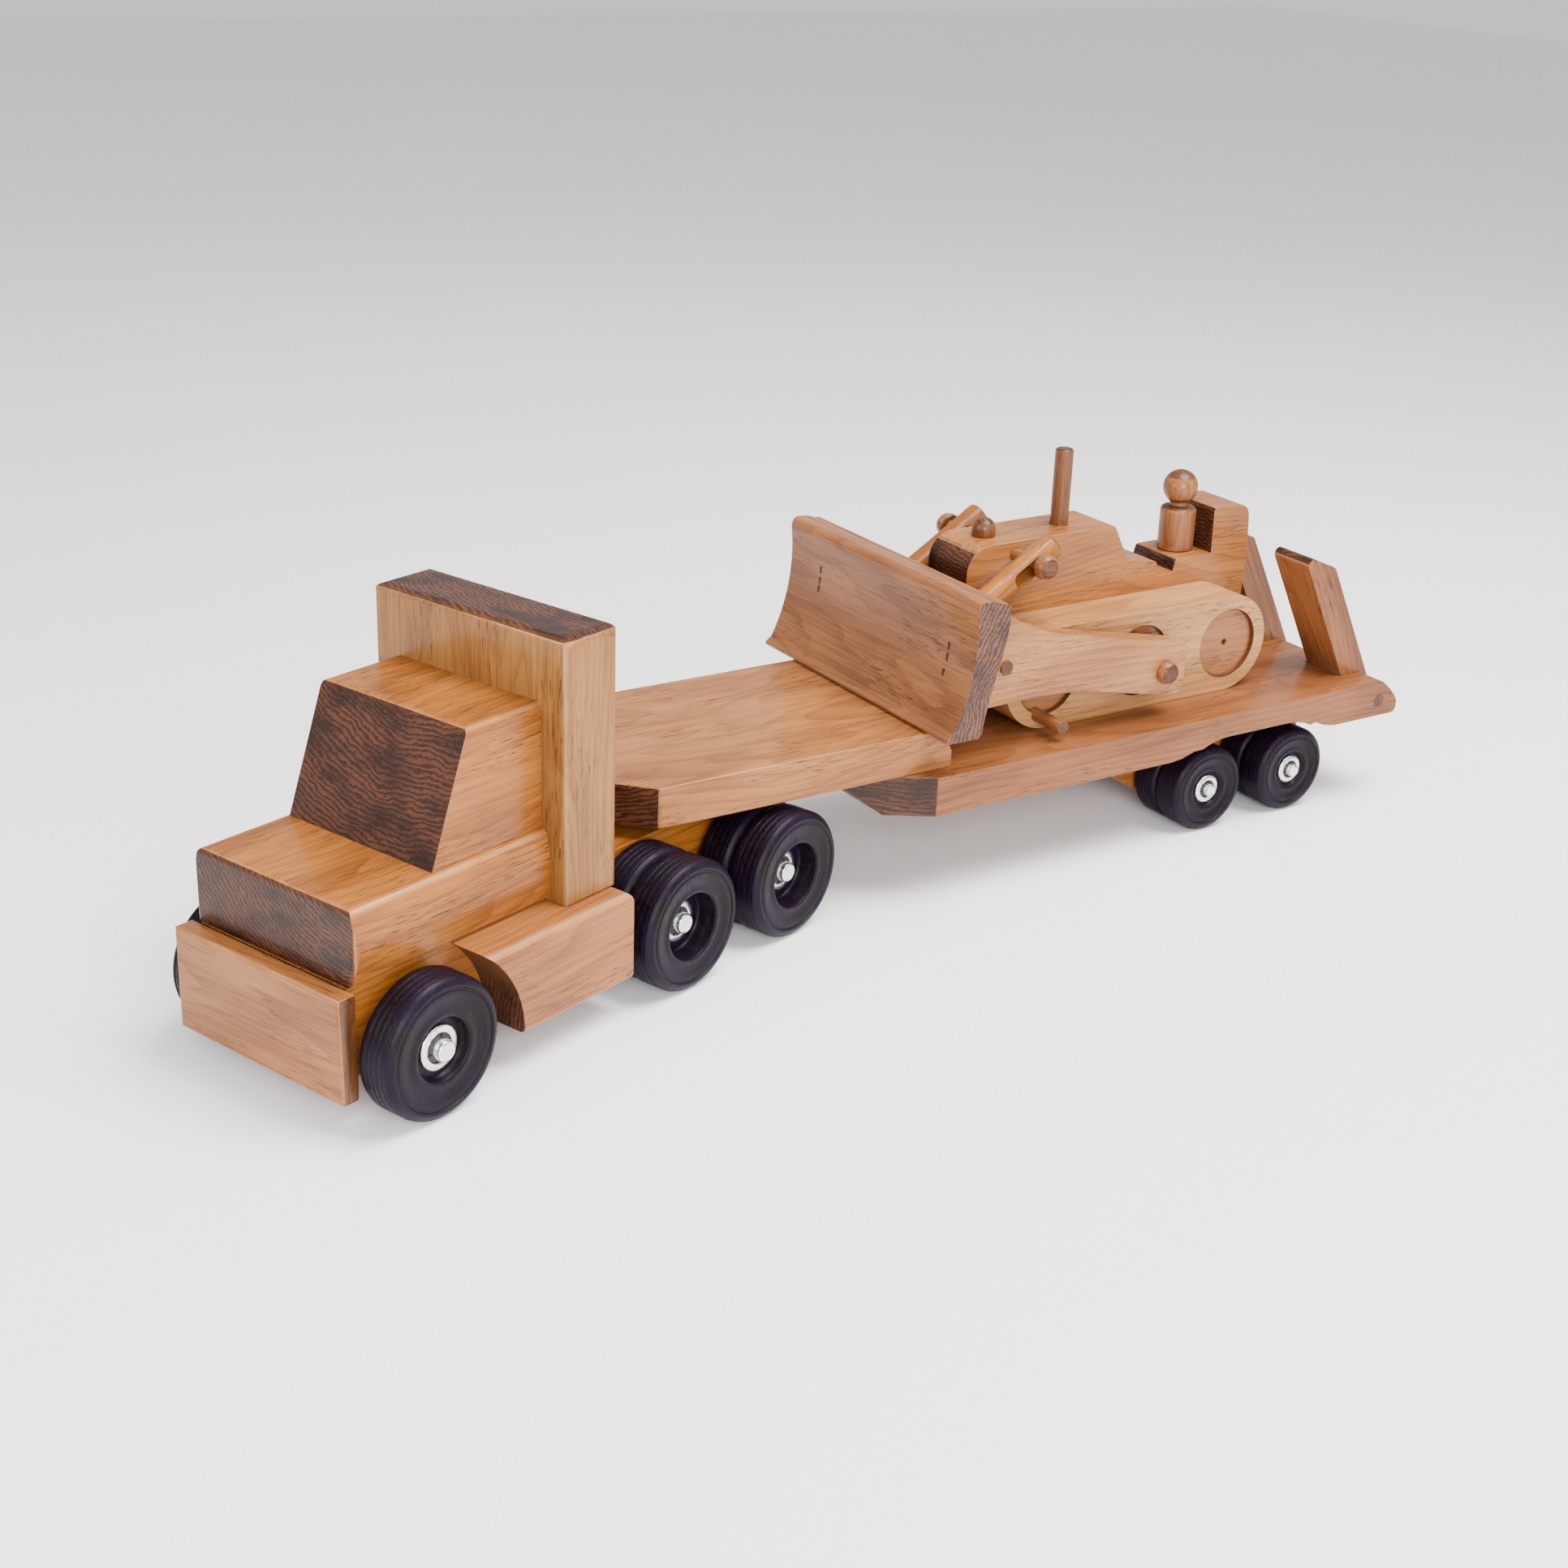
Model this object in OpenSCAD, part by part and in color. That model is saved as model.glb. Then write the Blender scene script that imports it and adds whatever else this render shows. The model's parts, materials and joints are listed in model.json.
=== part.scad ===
// Wooden toy lorry with a low-loader trailer that carries a wooden bulldozer.
// Millimetres. +X is the way the lorry faces, +Y is its left side, +Z is up.
// The trailer lies along X. The tractor unit stands turned about the kingpin.

/* [Lorry] */
// angle between the tractor unit and the trailer, in degrees
hitch_turn = 19.14; // [0:0.01:40]
// radius of the tractor unit's wheels
wheel_r = 29.3; // [26:0.1:32]
// width of one tractor wheel
wheel_w = 17.6; // [15:0.1:20]
// radius of the tractor unit's steel axle rods
rod_r = 4.6; // [3:0.1:6]
// running clearance between a rod and a wheel
run_gap = 0.06; // [0.02:0.01:0.1]
// width of the hood block
hood_w = 88.4; // [70:0.1:110]
// width of the cab block
cab_w = 81.5; // [60:0.1:100]
// width of the sleeper block
sleeper_w = 108.4; // [90:0.1:120]
// fore and aft thickness of the sleeper block
sleeper_l = 30.5; // [20:0.1:40]
// height of the sleeper's top above the ground
sleeper_top = 169.8; // [140:0.1:190]

/* [Trailer] */
// thickness of each deck board
deck_t = 19.05; // [12:0.05:25]
// height of the main deck's top above the ground
deck_top = 62.9; // [55:0.1:70]
// width of the main deck
deck_w = 130.2; // [110:0.1:150]
// width of the raised front deck
gooseneck_w = 112.8; // [90:0.1:130]
// radius of the trailer's wheels
small_wheel_r = 22; // [18:0.1:26]
// width of one trailer wheel
small_wheel_w = 16.2; // [12:0.1:20]
// radius of the trailer's steel axle rods
small_rod_r = 3.15; // [2:0.05:4]
// thickness of the two loading ramps
ramp_t = 15.7; // [12:0.1:18]
// width of each ramp
ramp_w = 25; // [20:0.1:40]

/* [Bulldozer] */
// sideways place of the bulldozer on the deck
dozer_y = -4.7; // [-20:0.1:20]
// width of the bulldozer's body
body_w = 30.8; // [25:0.1:45]
// width of each track block
track_w = 26; // [18:0.1:32]
// height of the track blocks
track_h = 50; // [40:0.1:60]
// width of the blade
blade_w = 153; // [120:0.5:170]
// thickness of the two push arms
arm_t = 12.7; // [9:0.1:16]
// diameter of the two lift rams
ram_d = 12.7; // [9:0.1:16]
// diameter of the exhaust stack
stack_d = 9; // [6:0.1:12]

/* [Hidden] */
// circle smoothness of turned pieces
$fn = 48;
// shift that puts the whole model's box centre on the origin
shift_x = 73.237;
shift_y = -30.637;

// tractor unit, in its own frame: x from the sleeper's rear face, y from the centre line
pin_x = -101.1;
chassis_top = 56.6;
chassis_low = 18.6;
chassis_w = 84;
tail_w = 60;
chassis_tail = -131;
chassis_front = 135.6;
bumper_x0 = 135.6;
bumper_x1 = 144.6;
bumper_w = 97.2;
bumper_low = 12.4;
bumper_top = 56.7;
hood_top = 88.2;
hood_front = 134;
hood_round = 4;
cab_top = 141.4;
cab_foot_x = 90.2;
cab_brow_x = 70.3;
tank_side = 63.6;
tank_low = 16.4;
arch_x = 116.2;
arch_z = 16.4;
arch_r = 52.3;
front_axle_x = 109.8;
drive_axles_x = [-33.9, -104.1];
front_wheel_y = 49.3;
front_wheel_far_y = 42.3;
wheel_room = 0.8;
dual_y = 31.9;
dual_step = 18.2;
flange_r = 9.5;
nut_mouth = 6.3;

// trailer, in its own frame: x and y from the kingpin
goose_x0 = -112;
goose_x1 = 64;
goose_cut = 22;
deck_bottom = deck_top - deck_t;
deck_x0 = -393.6;
deck_x1 = -55;
hinge_x = -380;
hinge_z = 52.4;
dowel_r = 3.175;
notch_x = -366;
ramps_y = [24, -35.5];
ramp_back = 9.4;
ramp_lean = 27.8;
ramp_gap = 0.4;
small_axles_x = [-271, -327.4];
bogie_w = 54.8;
small_dual_y = 28.2;
small_dual_step = 16.6;
small_flange_r = 7.2;
small_nut_mouth = 4.5;
kingpin_r = 6.3;

// bulldozer, in the trailer's frame along x, from its own centre line along y
track_r = track_h / 2;
track_z = deck_top + track_r;
track_x0 = -296;
track_x1 = -181.6;
track_xm = -239;
disc_r = 17.8;
disc_depth = 2.4;
track_y0 = body_w / 2;
track_y1 = body_w / 2 + track_w;
arm_y0 = 45.7;
arm_x = -240;
arm_z = 87.5;
peg_r = 3.175;
ram_y = 28.5;
ram_x = -132;
ram_z = 116;
ram_peg_x = -177;
ram_peg_z = 143.3;
ram_peg_r = 3;
blade_off = 1.5;
ram_slot = 3.7;
ram_travel = 12.2;
hood_z = 149.5;
seat_z = 127;
stack_x = -215;
driver_x = -292.4;
staple_places = [[57.6, 120.9], [57.6, 115.9], [57.2, 108.5],
  [-48.8, 126.8], [-48.9, 121.3], [-48.9, 117.1]];

amber = [0.72, 0.45, 0.22];
pale = [0.78, 0.60, 0.38];
dark = [0.13, 0.10, 0.14];
steel = [0.78, 0.78, 0.80];
dowel = [0.60, 0.38, 0.22];

// ---- frames and helpers ----

// points of an arc, from angle a0 to a1
function arc(cx, cy, r, a0, a1, n = 8) =
  [for (i = [0:n]) [cx + r * cos(a0 + (a1 - a0) * i / n), cy + r * sin(a0 + (a1 - a0) * i / n)]];

module trailer_frame() translate([shift_x, shift_y, 0]) children();
module tractor_frame() trailer_frame() rotate([0, 0, hitch_turn]) translate([-pin_x, 0, 0]) children();
module dozer_frame() trailer_frame() translate([0, dozer_y, 0]) children();

// a shape drawn in x and z, as a slab from y0 to y1
module slab(y0, y1) translate([0, y1, 0]) rotate([90, 0, 0]) linear_extrude(y1 - y0) children();
// a round bar along y
module bar(x, z, r, y0, y1) translate([x, y0, z]) rotate([-90, 0, 0]) cylinder(r = r, h = y1 - y0);
// a box given by its corners
module block(lo, hi) translate(lo) cube(hi - lo);
// a rectangle from a to b, its upper corners of radius r and its lower ones of radius foot
module round_rect(a, b, r, foot = 0) {
  low = foot > 0 ? foot : r;
  translate([a[0], a[1] + low]) square([b[0] - a[0], b[1] - a[1] - low - r]);
  translate([a[0] + low, a[1]]) square([b[0] - a[0] - 2 * low, low + 0.01]);
  translate([a[0] + r, b[1] - r - 0.01]) square([b[0] - a[0] - 2 * r, r + 0.01]);
  for (x = [a[0] + low, b[0] - low]) translate([x, a[1] + low]) circle(low);
  for (x = [a[0] + r, b[0] - r]) translate([x, b[1] - r]) circle(r);
}
// a box with its edges along z rounded by rz, its edges along y by ry and those along x by rx
module eased_block(lo, hi, rz, ry, rx, foot) {
  intersection() {
    translate([0, 0, lo[2]]) linear_extrude(hi[2] - lo[2])
      round_rect([lo[0], lo[1]], [hi[0], hi[1]], rz);
    slab(lo[1], hi[1]) round_rect([lo[0], lo[2]], [hi[0], hi[2]], ry, foot);
    translate([lo[0], 0, 0]) rotate([90, 0, 90]) linear_extrude(hi[0] - lo[0])
      round_rect([lo[1], lo[2]], [hi[1], hi[2]], rx, foot);
  }
}

// A turned wheel about +Z, its inner face at z = 0 and its outer face at z = w.
// dish is the depth of the wide recess in the outer face; boss lengthens the hub at the back.
module turned_wheel(r, w, bore, recess_r, dish, lip, floor_r, boss = 0, boss_r = 9) {
  g = 0.34;
  s = (w - 6) / 4;
  rotate_extrude() polygon(concat(
    [[bore, -boss], [boss > 0 ? boss_r : bore + 3, -boss]],
    boss > 0 ? [[boss_r, 0]] : [],
    [[r - 4.2, 0], [r - 1.6, 0.7], [r - 0.4, 1.8]],
    [for (k = [0:3]) each [[r, 3 + s * k], [r, 3 + s * (k + 1) - 0.9],
      [r - g, 3 + s * (k + 1) - 0.65], [r - g, 3 + s * (k + 1) - 0.25]]],
    [[r, w - 3], [r - 0.4, w - 1.8], [r - 1.6, w - 0.6], [r - 3, w], [r - 4, w],
     [r - 4.4, w - 0.5], [r - 5.2, w - 0.5], [r - 5.6, w - 0.1]],
    [[recess_r + lip, w - 1.1], [recess_r + lip * 0.4, w - 0.7], [recess_r + 0.4, w - 0.8],
     [recess_r, w - 1.4], [recess_r - 0.5, w - dish + 1.2], [recess_r - 1.4, w - dish],
     [floor_r, w - dish], [bore, w - dish]]
  ));
}
module wheel_at(x, y, z, side) {
  translate([x, side * y, z]) rotate([side > 0 ? -90 : 90, 0, 0]) children();
}
module front_wheel(side)
  color(dark) tractor_frame()
    wheel_at(front_axle_x, side > 0 ? front_wheel_y : front_wheel_far_y, wheel_r, side)
      turned_wheel(wheel_r, wheel_w, rod_r + run_gap, 13.2, 4.6, 4.5, 10, side > 0 ? 6.4 : 0, 9.5);
module drive_wheel(axle, side, outer)
  color(dark) tractor_frame()
    wheel_at(drive_axles_x[axle], dual_y + (outer ? dual_step : 0), wheel_r, side)
      turned_wheel(wheel_r, wheel_w, rod_r + run_gap, outer ? 14.9 : 12, outer ? 10.4 : 1.5, 3.2, 9);
module small_wheel(axle, side, outer)
  color(dark) trailer_frame()
    wheel_at(small_axles_x[axle], small_dual_y + (outer ? small_dual_step : 0), small_wheel_r, side)
      turned_wheel(small_wheel_r, small_wheel_w, small_rod_r + run_gap, outer ? 9.6 : 8.5,
                   outer ? 2.6 : 1.2, 3, 6);

// a push nut's bright flange about +Z
module nut_flange(r, mouth) rotate_extrude() polygon([[mouth, 0], [r, 0], [r, 0.7], [r - 0.5, 1.1],
  [mouth + 0.9, 1.5], [mouth + 0.2, 1.3], [mouth, 0.9]]);
// the sprung star inside the flange, which grips the rod
module nut_star(mouth, rod) difference() {
  rotate_extrude() polygon([[rod, 0], [mouth, 0], [mouth, 0.4], [rod + 0.4, 0.8], [rod, 0.8]]);
  for (a = [0:60:179]) rotate([0, 0, a + 15]) translate([-mouth - 1, -0.35, 0.25])
    cube([2 * mouth + 2, 0.7, 2]);
}
// a steel rod along y with eased ends
module rod(x, z, r, y0, y1) {
  len = y1 - y0;
  translate([x, y0, z]) rotate([-90, 0, 0]) rotate_extrude() polygon([[0, 0], [r - 0.9, 0],
    [r - 0.3, 0.3], [r, 0.9], [r, len - 0.9], [r - 0.3, len - 0.3], [r - 0.9, len], [0, len]]);
}

// ---- tractor unit ----

// chassis board: broad under the cab, narrow between the drive wheels
module chassis() color(amber) tractor_frame() {
  difference() {
    union() {
      block([0, -chassis_w / 2, chassis_low], [chassis_front, chassis_w / 2, chassis_top]);
      intersection() {
        block([chassis_tail, -tail_w / 2, chassis_low], [0.5, tail_w / 2, chassis_top]);
        translate([chassis_tail, 0, 0]) linear_extrude(chassis_top + 1)
          round_rect([0, -tail_w / 2], [200, tail_w / 2], 8);
      }
    }
    for (x = drive_axles_x) bar(x, wheel_r, rod_r, -50, 50);
    bar(front_axle_x, wheel_r, rod_r, -50, 50);
    translate([pin_x, 0, 38]) cylinder(r = kingpin_r + run_gap, h = 30);
  }
}

// upright front board with its ends eased, relieved at the back for the right wheel
module bumper() color(amber) tractor_frame() difference() {
  eased_block([bumper_x0, -bumper_w / 2, bumper_low], [bumper_x1, bumper_w / 2, bumper_top],
              3.4, 1.6, 3.4, 1.4);
  bar(front_axle_x, wheel_r, wheel_r + wheel_room, -bumper_w / 2 - 5, wheel_room - front_wheel_far_y);
}

// hood block, its sides planed to a slight crown and its front corners rounded
module hood() color(amber) tractor_frame() {
  w = hood_w / 2;
  crown = 1.5;
  low = chassis_top + 2;
  high = hood_top - hood_round;
  side = [for (k = [-5:5]) [w + crown * (1 - k * k / 25), (low + high) / 2 + (high - low) * k / 10]];
  edge = concat([[w - 2, chassis_top]], side, arc(w - hood_round, high, hood_round, 12, 90, 5));
  intersection() {
    slab(-w - 5, w + 5) polygon(concat([[sleeper_l, chassis_top], [hood_front + 0.9, chassis_top],
      [hood_front + 1.3, low]], arc(hood_front - 2.8, hood_top - 2.8, 2.8, 6, 90, 6),
      [[sleeper_l, hood_top]]));
    translate([sleeper_l, 0, 0]) rotate([90, 0, 90]) linear_extrude(hood_front + 2 - sleeper_l)
      polygon(concat(edge, [for (k = [len(edge) - 1:-1:0]) [-edge[k][0], edge[k][1]]]));
    translate([0, 0, chassis_top - 1]) linear_extrude(hood_top)
      round_rect([0, -w - crown], [hood_front + 1.3, w + crown], hood_round);
  }
}

// cab block with a raked windscreen face
module cab() color(amber) tractor_frame() {
  slope = (cab_foot_x - cab_brow_x) / (cab_top - hood_top);
  intersection() {
    slab(-cab_w / 2, cab_w / 2) polygon(concat(
      [[sleeper_l, hood_top], [cab_foot_x, hood_top]],
      [[cab_brow_x + 3 * slope, cab_top - 3]],
      arc(cab_brow_x - 1.9, cab_top - 2.6, 2.6, 15, 85, 4),
      [[sleeper_l, cab_top]]));
    translate([sleeper_l, 0, 0]) rotate([90, 0, 90]) linear_extrude(70)
      round_rect([-cab_w / 2, hood_top - 5], [cab_w / 2, cab_top], 3);
  }
}

module sleeper() color(amber) tractor_frame()
  eased_block([0, -sleeper_w / 2, chassis_top], [sleeper_l, sleeper_w / 2, sleeper_top], 3.6, 4, 6.5, 1.8);

// side tank and step block, hollowed at its front for the wheel
module tank(side) color(amber) tractor_frame() {
  y0 = side > 0 ? chassis_w / 2 : -tank_side;
  y1 = side > 0 ? tank_side : -chassis_w / 2;
  difference() {
    intersection() {
      block([0, y0, tank_low], [arch_x, y1, chassis_top]);
      rotate([90, 0, 90]) linear_extrude(arch_x)
        round_rect([-tank_side, tank_low], [tank_side, chassis_top], 4.6, 3);
      slab(-70, 70) round_rect([0, tank_low], [arch_x + 20, chassis_top], 4.6, 3);
    }
    bar(arch_x, arch_z, arch_r, -70, 70);
  }
}

// spacer disc that carries the trailer's gooseneck
module hitch_spacer() color(dowel) tractor_frame() {
  difference() {
    translate([pin_x, 0, chassis_top]) cylinder(r = 25, h = deck_top - chassis_top - 0.1);
    translate([pin_x, 0, chassis_top - 1]) cylinder(r = kingpin_r + run_gap, h = 12);
  }
}

module axle_front() color(steel) tractor_frame() rod(front_axle_x, wheel_r, rod_r, -61, 68);
module axle_drive_front() color(steel) tractor_frame() rod(drive_axles_x[0], wheel_r, rod_r, -63, 63);
module axle_drive_rear() color(steel) tractor_frame() rod(drive_axles_x[1], wheel_r, rod_r, -63, 63);

// the places of the nuts, each outside its wheel's hub
module tractor_nut_places() for (side = [-1, 1]) {
  wheel_at(front_axle_x, (side > 0 ? front_wheel_y : front_wheel_far_y) + wheel_w - 4.4, wheel_r, side)
    children();
  for (x = drive_axles_x) wheel_at(x, dual_y + dual_step + wheel_w - 10.2, wheel_r, side) children();
}
module trailer_nut_places() for (side = [-1, 1], x = small_axles_x)
  wheel_at(x, small_dual_y + small_dual_step + small_wheel_w - 2.4, small_wheel_r, side) children();
module push_nuts_tractor() color(steel) tractor_frame() tractor_nut_places()
  nut_flange(flange_r, nut_mouth);
module nut_stars_tractor() color(dark) tractor_frame() tractor_nut_places() nut_star(nut_mouth, rod_r);

// ---- trailer ----

// raised front deck: corners cut off at the front, rounded over at the rear
module gooseneck_deck() color(amber) trailer_frame() {
  w = gooseneck_w / 2;
  difference() {
    intersection() {
      translate([0, 0, deck_top]) linear_extrude(deck_t) polygon([[goose_x0, -w],
        [goose_x1 - goose_cut, -w], [goose_x1, -w + goose_cut], [goose_x1, w - goose_cut],
        [goose_x1 - goose_cut, w], [goose_x0, w]]);
      slab(-w, w) polygon(concat([[goose_x0, deck_top], [goose_x1, deck_top],
        [goose_x1, deck_top + deck_t]], arc(goose_x0 + 16, deck_top + deck_t - 17, 17, 90, 160, 10)));
    }
    translate([0, 0, deck_top - 1]) cylinder(r = kingpin_r, h = 13);
  }
}

// main deck: cut corners and an undercut nose, an arch over the wheels, a rounded tail
// with two slots for the ramps
module main_deck() color(amber) trailer_frame() {
  w = deck_w / 2;
  z0 = deck_bottom;
  difference() {
    intersection() {
      translate([0, 0, z0]) linear_extrude(deck_t) polygon([[deck_x0, -w], [-98.4, -w],
        [-55, -38.3], [-55, 38.3], [-98.4, w], [deck_x0, w]]);
      slab(-w, w) polygon(concat([[-77.5, z0], [-55, deck_top]],
        arc(-379.4, deck_top - 5, 5, 90, 128, 4), [[-387.4, 57.7], [-391.3, 53.6]],
        [[-393, 51.4], [-393.6, 49.4], [-393.4, 46.4], [-392.4, 44.5], [-390.6, z0]],
        [[-350, z0]], arc(-353, z0 + 36, 36.1, -85, -62, 4), arc(-316, z0 - 33, 40, 115, 90, 4),
        arc(-277, z0 - 33, 40, 90, 65, 4) , [[-254.5, z0 + 3.1], [-247, z0 + 0.8], [-240, z0]]));
    }
    for (y = ramps_y) block([deck_x0 - 5, y - ramp_gap, z0 - 5],
      [notch_x, y + ramp_w + ramp_gap, deck_top + 5]);
    bar(hinge_x, hinge_z, dowel_r, -w - 1, w + 1);
  }
}

// peg under the gooseneck that drops into the chassis
module kingpin() color(dowel) trailer_frame() {
  translate([0, 0, 42]) cylinder(r = kingpin_r, h = deck_top + 12 - 42);
  translate([0, 0, 40]) cylinder(r1 = kingpin_r - 1.2, r2 = kingpin_r, h = 2);
}

// axle block under the deck, bevelled at both ends
module bogie_block() color(amber) trailer_frame() {
  z0 = deck_bottom;
  difference() {
    slab(-bogie_w / 2, bogie_w / 2) polygon([[-352, 14.5], [-250, 14.5], [-222, z0 - 11.5],
      [-222, z0], [-241, z0], [-247, z0], [-254.5, z0], [-258, z0], [-362, z0], [-362, z0 - 18]]);
    for (x = small_axles_x) bar(x, small_wheel_r, small_rod_r, -40, 40);
  }
}

module small_axle(x) color(steel) trailer_frame() rod(x, small_wheel_r, small_rod_r, -63.4, 63.4);
module axle_trailer_front() small_axle(small_axles_x[0]);
module axle_trailer_rear() small_axle(small_axles_x[1]);

module push_nuts_trailer() color(steel) trailer_frame() trailer_nut_places()
  nut_flange(small_flange_r, small_nut_mouth);
module nut_stars_trailer() color(dark) trailer_frame() trailer_nut_places()
  nut_star(small_nut_mouth, small_rod_r);

module ramp_dowel() color(dowel) trailer_frame()
  bar(hinge_x, hinge_z, dowel_r, -deck_w / 2, deck_w / 2);

// loading ramp: round foot about the dowel, bevelled tip, stored leaning forward
module ramp(y0) color(amber) trailer_frame() {
  f = ramp_t - ramp_back;
  h = ramp_t / 2;
  difference() {
    translate([hinge_x, 0, hinge_z]) rotate([0, ramp_lean, 0]) union() {
      bar(f - h, 0, h, y0, y0 + ramp_w);
      slab(y0, y0 + ramp_w) polygon(concat([[-ramp_back, 0], [f, 0], [f, 84.6]],
        arc(f - 3.2, 85.2, 3.2, 0, 125, 6), [[-ramp_back + 1, 76], [-ramp_back, 74.4]]));
    }
    bar(hinge_x, hinge_z, dowel_r + run_gap, -70, 70);
  }
}
module ramp_left() ramp(ramps_y[0]);
module ramp_right() ramp(ramps_y[1]);

// ---- bulldozer ----

// sawn body: rounded nose, bonnet, cowl, footwell, seat and seat back
module dozer_body() color(amber) dozer_frame() {
  difference() {
    slab(-body_w / 2, body_w / 2) polygon(concat(
      [[-322, 74], [-160, 74], [-152, 88], [-148.6, 132]],
      arc(-162, hood_z - 13.4, 13.4, 8, 90, 10),
      arc(-236.4, hood_z - 3, 3, 90, 155, 4),
      [[-246.6, 133.6]], arc(-251.6, 135.2, 5, 285, 262, 4),
      arc(-265.2, 125.2, 2.6, 80, 170, 4),
      [[-267.9, 121], [-269.4, 119.8], [-276.8, 119.8], [-278.4, 121], [-279.2, 124.6]],
      arc(-281.6, seat_z - 2.2, 2.2, 20, 90, 4),
      [[-303.2, seat_z]], [[-302.6, 148.4]], arc(-304.8, 148.4, 2, 20, 90, 4),
      arc(-320, 143, 7, 90, 176, 6),
      [[-328.2, 128], [-327.6, 108], [-325.4, 82]]));
    bar(ram_peg_x, ram_peg_z, ram_peg_r, -body_w, body_w);
    translate([stack_x, 0, hood_z - 14]) cylinder(r = stack_d / 2, h = 20);
    translate([-169, 0, hood_z - 8]) cylinder(r = 2.6, h = 20);
    translate([driver_x, 0, seat_z - 4]) cylinder(r = 4.86, h = 10);
  }
}

// track block with round ends, three shallow wheel discs and their centre marks
module track(side) color(pale) dozer_frame() {
  y0 = side > 0 ? track_y0 : -track_y1;
  y1 = side > 0 ? track_y1 : -track_y0;
  face = side > 0 ? track_y1 : -track_y1;
  difference() {
    slab(y0, y1) {
      translate([track_x0, deck_top]) square([track_x1 - track_x0, track_h]);
      for (x = [track_x0, track_x1]) translate([x, track_z]) circle(track_r, $fn = 96);
    }
    for (x = [track_x0, track_xm, track_x1]) {
      bar(x, track_z, disc_r, face - disc_depth, face + disc_depth);
      if (x != track_xm) bar(x, track_z, 1.3, face - 5, face + 5);
    }
    bar(arm_x, arm_z, peg_r, face - 12, face + 12);
    bar(-176.6, 70.4, peg_r, face - 10, face + 10);
  }
}
module track_left() track(1);
module track_right() track(-1);

module exhaust_stack() color(dowel) dozer_frame() translate([stack_x, 0, hood_z - 14])
  rotate_extrude() polygon([[0, 0], [stack_d / 2, 0], [stack_d / 2, 50.5],
    [stack_d / 2 - 0.7, 51.5], [stack_d / 2 - 1.6, 51.7], [0, 51.7]]);

// button cap on the bonnet
module radiator_cap() color(dowel) dozer_frame() translate([-169, 0, hood_z])
  rotate_extrude() polygon(concat([[0, -8], [2.6, -8], [2.6, 0], [5.2, 0], [5.8, 0.8], [5.8, 3.2]],
    arc(0, 3.2, 5.8, 0, 66, 6), [[2.2, 8.6], [0, 8.6]]));

// peg driver: ball head on a turned body, with a spigot in the seat
module driver() color(dowel) dozer_frame() translate([driver_x, 0, seat_z])
  rotate_extrude() polygon(concat([[0, -4], [4.8, -4], [4.8, 0.05], [8.4, 0.05], [9.1, 0.9], [9.1, 19.4]],
    arc(6.5, 19.8, 2.6, 0, 80, 5), [[4.9, 22.8], [4.9, 23.4]],
    arc(0, 32, 8.8, -58, 90, 18)));

// rear outline of the blade, from its top to its foot
blade_back = [[-126.9, 138], [-126.2, 131], [-124.9, 125], [-122.9, 117.4], [-120.3, 108],
  [-117.6, 98.4], [-116, 91.4], [-115.2, 86.9]];

// curved blade, hollow in front
module blade() color(amber) dozer_frame() {
  difference() {
    slab(blade_off - blade_w / 2, blade_off + blade_w / 2) polygon(concat(
      [[-112.2, 82.3], [-97.4, 82.3], [-95.4, 82.9], [-95.2, 84]],
      arc(-16.6, 129.6, 92.6, 207.6, 172.6, 14),
      arc(-112.2, 143.2, 3.6, 8, 84, 5),
      [[-117, 146.4], [-121.6, 145]], arc(-123.4, 141.4, 3.5, 70, 170, 5),
      blade_back,
      arc(-112.2, 85.3, 3, 190, 262, 4)));
    staple_set();
  }
}

// wire staples driven through the blade into each arm
module staple_set() for (p = staple_places)
  translate([-16.6 - 92.6 * cos(asin((p[1] - 129.6) / 92.6)) - 3.2, p[0] - 0.45, p[1] - 1.7])
    cube([3.6, 0.9, 3.4]);
module staples() color([0.1, 0.08, 0.08]) dozer_frame() staple_set();

// push arm, deep at the blade and narrow at its pivot
module arm(side) color(amber) dozer_frame() {
  y0 = side > 0 ? arm_y0 : -arm_y0 - arm_t;
  difference() {
    slab(y0, y0 + arm_t) polygon(concat(
      [[-128.6, 138.6], [-134.6, 135.2], [-142.6, 130.4], [-149, 126.6], [-156, 122.8],
       [-164, 119.6], [-173, 116.8], [-183, 114.4], [-196, 111.7], [-214, 108.1], [-240, 102.8]],
      [[-246, 101.5]], arc(-248.8, 96.2, 5, 80, 178, 5),
      arc(-246.9, 80, 6, 190, 262, 5),
      [[-240, 75.2], [-214, 80.6], [-200, 83.4], [-188, 85.6], [-176, 86.9], [-160, 87.5], [-134, 86.8]],
      [for (k = [len(blade_back) - 1:-1:0]) blade_back[k]]));
    bar(arm_x, arm_z, peg_r + run_gap, y0 - 1, y0 + arm_t + 1);
    bar(-141.7, 105.5, peg_r, y0 - 1, y0 + arm_t + 1);
    bar(ram_x, ram_z, peg_r, side > 0 ? y0 - 1 : y0 + arm_t - 8, side > 0 ? y0 + 8 : y0 + arm_t + 1);
  }
}
module arm_left() arm(1);
module arm_right() arm(-1);

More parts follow.
